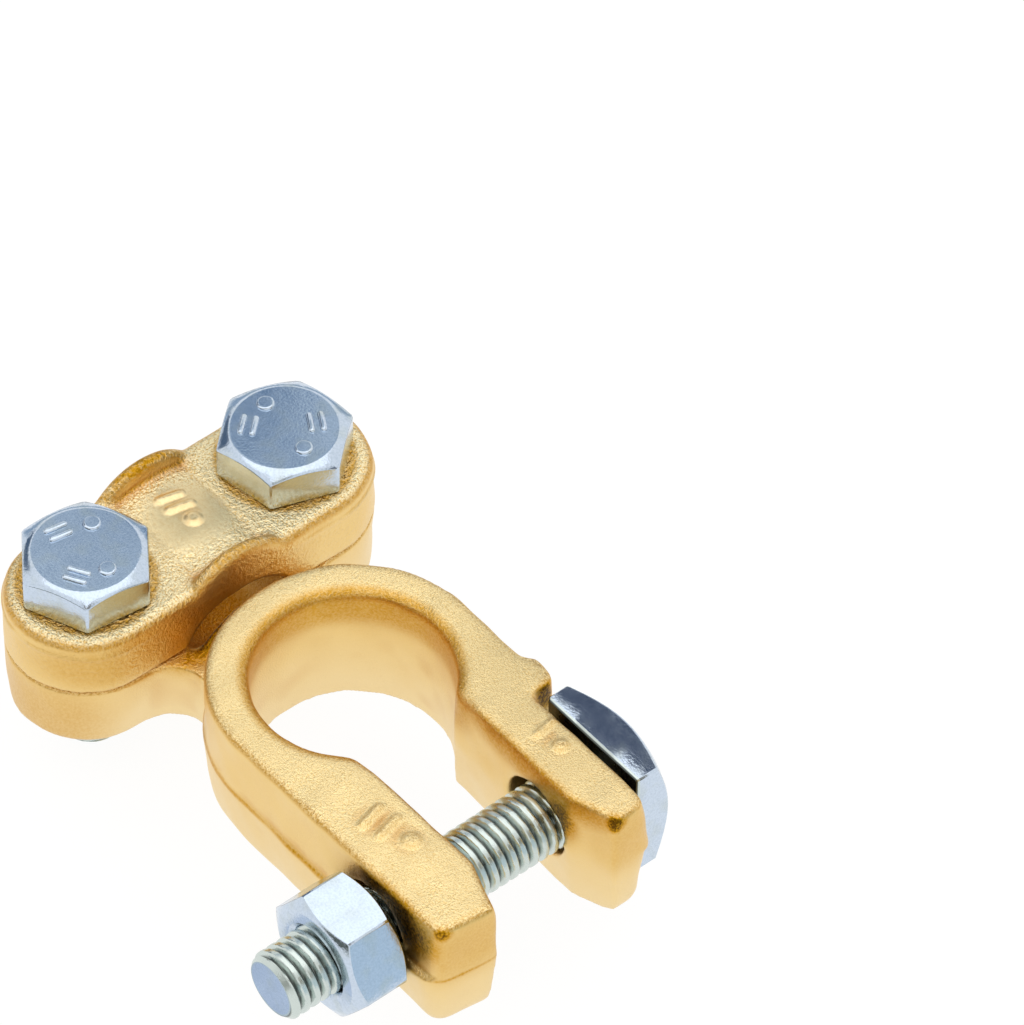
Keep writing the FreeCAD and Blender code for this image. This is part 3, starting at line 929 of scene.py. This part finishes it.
@dataclass(frozen=True)
class Card:
    """Plain card beside the camera's view that shows only in the metal's reflections."""

    name: str
    target: Triple
    direction: Triple
    distance: float
    along: Triple
    width: float
    height: float
    colour: str
    strength: float = 1.0
    cloud_colour: str | None = None
    cloud_size: float = 14.0

    def build(self) -> None:
        """Stand the card up, facing its target; all its sizes are in millimetres."""
        material, tree = new_material(self.name)
        place = add_node(tree, "ShaderNodeTexCoord").outputs["Object"]
        clouds = add_node(tree, "ShaderNodeTexNoise", inputs={
            "Vector": place, "Scale": 1 / (self.cloud_size * MM), "Detail": 3.0}).outputs["Fac"]
        share = add_node(tree, "ShaderNodeMapRange", inputs={
            "Value": clouds, "From Min": 0.38, "From Max": 0.62}).outputs[0]
        colour = add_node(tree, "ShaderNodeMix", {"data_type": "RGBA"}, {
            0: share, 6: linear(self.colour),
            7: linear(self.cloud_colour or self.colour)}).outputs[2]
        glow = add_node(tree, "ShaderNodeEmission", inputs={
            "Color": colour, "Strength": self.strength})
        add_node(tree, "ShaderNodeOutputMaterial", inputs={"Surface": glow.outputs[0]})
        away = Vector(self.direction).normalized()
        side = (Vector(self.along) - away * away.dot(Vector(self.along))).normalized()
        up = away.cross(side)
        centre = Vector(self.target) + away * self.distance
        work = bmesh.new()
        corners = [
            work.verts.new((centre + side * (a * self.width / 2) + up * (b * self.height / 2)) * MM)
            for a, b in ((-1, -1), (1, -1), (1, 1), (-1, 1))]
        work.faces.new(corners)
        data = mesh_data(work, self.name)
        data.materials.append(material)
        piece = new_object(self.name, data)
        piece.visible_camera = False
        piece.visible_diffuse = False
        piece.visible_shadow = False
        piece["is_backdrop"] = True


@dataclass
class Studio:
    """White table, even light and the camera at the photograph's angle."""

    floor_height: float
    azimuth: float = 51.251
    elevation: float = 49.779
    roll: float = -0.587
    distance: float = 1.0
    pixels_per_radian: float = 12734.0
    frame_width: float = 1024.0
    pivot: Triple = (0.0, 0.0, 12.2)
    aim_right: float = 12.526
    aim_up: float = 12.517
    light: float = 0.9
    table_radius: float = 1.5
    table_tone: float = 0.6
    table_sheen: float = 0.13
    table_glow: float = 0.91

    def back(self) -> Vector:
        """Direction from the clamp to the camera."""
        a, e = math.radians(self.azimuth), math.radians(self.elevation)
        return Vector((math.sin(a) * math.cos(e), -math.cos(a) * math.cos(e), math.sin(e)))

    def camera(self) -> None:
        """Add the camera and make it the scene's camera."""
        a, roll = math.radians(self.azimuth), math.radians(self.roll)
        back = self.back()
        level = Vector((math.cos(a), math.sin(a), 0))
        rise = back.cross(level)
        right = level * math.cos(roll) + rise * math.sin(roll)
        up = rise * math.cos(roll) - level * math.sin(roll)
        pivot = Vector(self.pivot) * MM
        place = pivot + back * self.distance
        aim = pivot + (right * self.aim_right + up * self.aim_up) * MM
        away = (place - aim).normalized()
        side = up.cross(away).normalized()
        rotation = Matrix((side, away.cross(side), away)).transposed().to_4x4()
        data = bpy.data.cameras.new("camera")
        data.sensor_fit = "HORIZONTAL"
        data.sensor_width = 36.0
        data.lens = self.pixels_per_radian * data.sensor_width / self.frame_width
        data.clip_start, data.clip_end = 0.01, 10.0
        piece = new_object("camera", data)
        piece.matrix_world = Matrix.Translation(place) @ rotation
        bpy.context.scene.camera = piece

    def seen(self, tree: NodeTree) -> NodeSocket:
        """Make a socket that is 1 for a ray that shows the background, 0 for one that lights."""
        path = add_node(tree, "ShaderNodeLightPath").outputs
        shown = path["Is Camera Ray"]
        for ray in ("Is Glossy Ray", "Is Transmission Ray"):
            shown = add_node(tree, "ShaderNodeMath", {"operation": "MAXIMUM"},
                             {0: shown, 1: path[ray]}).outputs[0]
        return shown

    def world(self) -> None:
        """Even white surroundings."""
        world = bpy.data.worlds.new("white_room")
        world.use_nodes = True
        tree = world.node_tree
        tree.nodes.clear()
        light, shown = (
            add_node(tree, "ShaderNodeBackground", inputs={
                "Color": WHITE, "Strength": strength}).outputs[0]
            for strength in (self.light, 1.0))
        mixed = add_node(tree, "ShaderNodeMixShader", inputs={
            0: self.seen(tree), 1: light, 2: shown})
        add_node(tree, "ShaderNodeOutputWorld", inputs={"Surface": mixed.outputs[0]})
        bpy.context.scene.world = world

    def floor(self) -> None:
        """White table that keeps a faint soft shadow of the clamp."""
        material, tree = new_material("white_table")
        paper, sheen = (
            add_node(tree, "ShaderNodeBsdfDiffuse", inputs={
                "Color": (tone, tone, tone, 1)}).outputs[0]
            for tone in (self.table_tone, self.table_sheen))
        glow = add_node(tree, "ShaderNodeEmission", inputs={
            "Color": WHITE, "Strength": self.table_glow})
        shown = add_node(tree, "ShaderNodeAddShader", inputs={0: sheen, 1: glow.outputs[0]})
        mixed = add_node(tree, "ShaderNodeMixShader", inputs={
            0: self.seen(tree), 1: paper, 2: shown.outputs[0]})
        add_node(tree, "ShaderNodeOutputMaterial", inputs={"Surface": mixed.outputs[0]})
        work = bmesh.new()
        bmesh.ops.create_circle(work, cap_ends=True, segments=96, radius=self.table_radius)
        bmesh.ops.translate(work, verts=work.verts[:], vec=(0, 0, self.floor_height))
        data = mesh_data(work, "table")
        data.materials.append(material)
        new_object("table", data)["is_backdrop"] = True

    def cards(self) -> list[Card]:
        """Soft box overhead, and the grey and dark cards that give the metal its depth."""
        middle = (0.0, 0.0, 8.0)
        x_way, y_way = (1, 0, 0), (0, 1, 0)
        back = self.back()
        # where the view bounces to from a level face, and from the end of the clamp bolt
        mirrored = (-back.x, -back.y, back.z)
        end_mirrored = (-back.x, back.y, -back.z)
        return [
            Card("soft_box", middle, (0.0, 0.02, 1.0), 300, x_way, 360, 360, "#FFFFFF", 1.5),
            Card("grey_blue_card", (-20.9, 0, 15.9), mirrored, 60, y_way, 44, 30, "#6F88A4",
                 cloud_colour="#D9E4EC", cloud_size=7.0),
            Card("small_dark_card", (17.1, 12.9, 11.6), mirrored, 24, x_way, 21, 8.6, "#4B5466",
                 cloud_colour="#525B6E", cloud_size=5.0),
            Card("end_card", (17.1, -22.15, 6.4), end_mirrored, 9, x_way, 9, 9, "#DDE6F2",
                 cloud_colour="#C6D1E2", cloud_size=2.5),
            Card("camera_side_card", middle, tuple(back), 420, (1, 1, 0), 190, 150, "#7C7264"),
            Card("front_dark_card", middle, (0.1, -0.98, 0.14), 300, x_way, 250, 120, "#5E6259"),
            Card("right_dark_card", middle, (0.80, 0.42, 0.42), 300, y_way, 150, 110, "#8E887A"),
            Card("left_grey_card", middle, (-0.91, -0.12, 0.39), 300, y_way, 170, 130, "#56697E"),
            Card("back_grey_card", (-20.0, 0.0, 15.0), (-0.78, 0.62, 0.0), 130, (0.62, 0.78, 0),
                 220, 40, "#9FB2C4"),
            Card("low_blue_card", (21.0, -15.0, 7.6), (0.913, 0.408, 0.0), 46, y_way,
                 46, 25, "#CFE0EC"),
        ]

    def build(self) -> None:
        """Set the camera, the surroundings and the cards."""
        self.camera()
        self.world()
        self.floor()
        for card in self.cards():
            card.build()
        bpy.context.scene.view_settings.view_transform = "Standard"


@dataclass
class BatteryClamp:
    """The whole clamp: two castings, two strap bolts, the clamp bolt and its nut."""

    hex_across: float = 10.0
    hex_height: float = 3.9
    hex_circle: float = 4.45
    hex_slope: float = 30.0
    strap_bolt_x: float = -20.9
    strap_bolt_spacing: float = 20.2
    strap_bolt_length: float = 17.0
    left_head_turn: float = 22.7
    right_head_turn: float = 9.7
    strap_top: float = 12.0
    clamp_bolt_x: float = 17.1
    clamp_bolt_height: float = 6.4
    clamp_bolt_length: float = 32.4
    square_seat: float = 10.25
    square_across: float = 11.1
    square_height: float = 3.5
    square_circle: float = 5.0
    square_slope: float = 0.526
    square_turn: float = 45.0
    nut_seat: float = -12.5
    nut_height: float = 5.2
    nut_circle: float = 4.6
    nut_hole: float = 3.0
    nut_turn: float = 54.0
    bar_length: float = 1.6
    bar_width: float = 0.58
    bar_shift: float = 0.48
    boss_width: float = 1.55

    def paired_bars(self, x: float, y: float, turn: float) -> list[RaisedMark]:
        """Two short parallel bars about one point, in millimetres from the bolt's axis."""
        angle = math.radians(turn)
        shift = (-self.bar_shift * math.sin(angle), self.bar_shift * math.cos(angle))
        return [RaisedMark(x + sign * shift[0], y + sign * shift[1], self.bar_length,
                           self.bar_width, turn) for sign in (-1, 1)]

    def head_marks(self, side: int) -> list[RaisedMark]:
        """Plain bars and bosses in two groups on a hexagon head.

        Args:
            side: -1 for the left bolt and 1 for the right one.

        Returns:
            The marks, in millimetres from the bolt's axis.
        """
        if side < 0:
            bars = self.paired_bars(-2.8, -0.5, 80.0) + self.paired_bars(1.7, -2.2, 30.0)
            bosses = ((-1.8, 2.1), (2.7, 0.1))
        else:
            bars = self.paired_bars(-2.0, -2.1, 130.0) + self.paired_bars(1.2, 2.3, 150.0)
            bosses = ((-2.9, 0.4), (2.7, -0.2))
        return bars + [RaisedMark(x, y, 0.0, self.boss_width, 0.0) for x, y in bosses]

    def body_stains_and_shades(self) -> list[StainAndShade]:
        """Darker patches on the body where the photograph shows them: painted shade and dark
        reflections, mould seams, and darker arm ends and lobe side.
        """
        return [
            # painted shade on the rim of the bore and on the bore wall under it
            StainAndShade((0.0, 0.0, 11.8), (0.8, 1.0, 0.7), 0.8, circle=8.4),
            StainAndShade((0.0, 0.0, 10.7), (0.9, 1.0, 2.1), 0.8, (-1, 0, 0), circle=8.2),
            # painted shade on the inner wall of the right arm, at its root and round its bolt hole
            StainAndShade((17.0, 5.0, 11.4), (11.0, 1.6, 1.8), 0.85, (0, -1, 0)),
            StainAndShade((6.8, 6.0, 10.4), (2.6, 2.4, 2.4), 0.8, (-0.7, -0.7, 0)),
            StainAndShade((19.8, 4.7, 9.3), (1.9, 1.2, 2.3), 1.35, (0, -1, 0)),
            # painted shade on the neck and trough below the strap
            StainAndShade((-13.2, 0.0, 7.2), (1.9, 8.5, 2.6), 1.5),
            StainAndShade((-16.8, 0.0, 3.1), (4.0, 6.0, 1.8), 0.9),
            # painted shadow and dark reflection of the nut on the left arm
            StainAndShade((19.6, -12.0, 9.8), (5.8, 1.6, 2.9), 1.45, (0, -1, 0)),
            # ends of both arms, and the side of the left lobe
            StainAndShade((24.6, -8.0, 9.0), (2.0, 8.0, 3.4), 0.45, (1, 0, 0)),
            StainAndShade((24.6, 8.0, 9.0), (2.0, 8.0, 3.4), 0.4, (1, 0, 0)),
            StainAndShade((-20.0, -15.0, 2.0), (10.0, 5.0, 5.0), 0.5, (0, -1, 0)),
            # the seam of the mould round the ring and along the left arm
            StainAndShade((0.0, 0.0, 6.2), (1.2, 1.0, 0.22), 0.9, (1, 0, 0), circle=11.6),
            StainAndShade((8.5, -12.0, 6.2), (5.5, 2.5, 0.22), 1.0, (0, -1, 0)),
            StainAndShade((24.6, -9.0, 6.1), (1.6, 4.0, 0.22), 1.0, (1, 0, 0)),
            # painted dark reflections on the outer corners of both arms, and painted shade in the
            # corner beside the stop lug
            StainAndShade((24.7, 6.3, 11.7), (0.85, 1.3, 1.1), 1.6, (0.5, -0.85, 0)),
            StainAndShade((24.7, -11.4, 11.6), (0.7, 1.2, 0.8), 1.3, (0.6, -0.8, 0)),
            StainAndShade((10.9, 10.9, 10.9), (0.9, 1.3, 1.9), 1.5, (1, 0, 0)),
        ]

    def strap_stains_and_shades(self) -> list[StainAndShade]:
        """Darker patches on the strap: painted shade on its wall facing the ring and round the feet
        of the bolt heads, and darker rims and saddle.
        """
        return [
            # painted shade and reflection of the ring on the strap wall that faces it
            StainAndShade((-16.0, -11.0, 9.2), (6.0, 7.0, 2.6), 0.6, (0.5, -0.86, 0)),
            StainAndShade((-14.8, 0.0, 13.7), (1.2, 5.5, 0.9), 0.7),
            StainAndShade((-26.6, 0.0, 13.7), (1.2, 5.5, 0.9), 0.95),
            StainAndShade((self.strap_bolt_x, 0.3, self.strap_top), (3.4, 4.4, 1.2), 0.3, (0, 0, 1)),
        ] + [
            # painted contact shadow round the foot of each strap bolt head
            StainAndShade((self.strap_bolt_x, side * self.strap_bolt_spacing / 2, self.strap_top),
                  (0.45, 1.0, 0.8), 0.8, (0, 0, 1), circle=5.35) for side in (-1, 1)
        ]

    def castings(self, brass: Material) -> list[Casting]:
        """Body and strap, with plain bars and bosses where such clamps carry their marks."""
        arm_rise, saddle_rise = 0.3, 0.22
        left_arm = [RaisedMark(12.3, -8.2, 2.2, 0.6, 105), RaisedMark(14.0, -7.8, 2.2, 0.6, 105),
                    RaisedMark(16.2, -7.3, 0.0, 1.5, 0)]
        right_arm = [RaisedMark(14.0, 8.0, 1.8, 0.5, 100), RaisedMark(16.2, 7.8, 0.0, 1.2, 0)]
        on_saddle = [RaisedMark(-23.3, 0.3, 1.9, 0.6, 75), RaisedMark(-22.0, 0.3, 1.9, 0.6, 75),
                     RaisedMark(-20.3, 0.3, 0.0, 1.3, 0)]
        bore_rim = SoftZone(0.0, 0.0, 9.8, 9.5, 13.0)
        neck = SoftZone(-13.0, 0.0, 5.0, 4.0, 10.5)
        bolt_seat = SoftZone(self.clamp_bolt_x, 14.2, 7.1, 4.0, 13.0, share=0.04)
        saddle = SoftZone(self.strap_bolt_x, 0.0, 3.6, 11.0, 13.0)
        # the strap comes out of coarser sand, so its top face glitters more; its paler top colour
        # adds painted top light, and its rounded edges get darker painted shade
        coarse = CastBrass(name="cast_brass_coarse", lit_top_colour="#FFEDBE", grain_size=0.34,
                           fine_grain_size=0.16, grain_rise=0.22, fine_grain_rise=0.08,
                           edge_shade=0.7, pit_share=0.75).build()
        return [
            Casting("terminal_body", brass, cell=0.24,
                    marks=[(mark, arm_rise) for mark in left_arm + right_arm], face=(11.6, 12.6),
                    soft_zones=[bore_rim, neck, bolt_seat], stains_and_shades=self.body_stains_and_shades()),
            Casting("cable_strap", coarse, cell=0.2,
                    marks=[(mark, saddle_rise) for mark in on_saddle], face=(11.4, 13.0),
                    seams=[10.5], polished=[saddle], stains_and_shades=self.strap_stains_and_shades()),
        ]

    def fasteners(self, zinc: Material) -> list[Fastener]:
        """Bolts and nut at their seats."""
        slope = math.tan(math.radians(self.hex_slope))
        found = []
        for side, node, turn in ((-1, "left_strap_bolt", self.left_head_turn),
                                 (1, "right_strap_bolt", self.right_head_turn)):
            found.append(Fastener(
                node, Axis.UP,
                (self.strap_bolt_x, side * self.strap_bolt_spacing / 2, self.strap_top),
                Head(6, self.hex_across, self.hex_height, self.hex_circle, slope, turn,
                     self.head_marks(side)),
                zinc, Thread(self.strap_bolt_length, zinc)))
        found.append(Fastener(
            "clamp_bolt", Axis.SQUARE_HEAD_SIDE,
            (self.clamp_bolt_x, self.square_seat, self.clamp_bolt_height),
            Head(4, self.square_across, self.square_height, self.square_circle,
                 self.square_slope, self.square_turn, edge=0.16, seat_edge=0.26),
            zinc, Thread(self.clamp_bolt_length, zinc)))
        found.append(Fastener(
            "clamp_nut", Axis.NUT_SIDE, (self.clamp_bolt_x, self.nut_seat, self.clamp_bolt_height),
            Head(6, self.hex_across, self.nut_height, self.nut_circle, slope, self.nut_turn,
                 chamfer_below=True, hole=self.nut_hole), zinc))
        return found

    def build(self) -> None:
        """Build every piece."""
        brass = CastBrass().build()
        zinc = ZincPlate().build()
        for piece in self.castings(brass) + self.fasteners(zinc):
            piece.build()


def main() -> None:
    """Build the clamp and its studio."""
    logging.basicConfig(level=logging.INFO, format="%(message)s")
    low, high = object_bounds()
    BatteryClamp().build()
    Studio(floor_height=low.z).build()
    LOG.info("solids %s to %s", list(low), list(high))


if __name__ == "__main__":
    main()
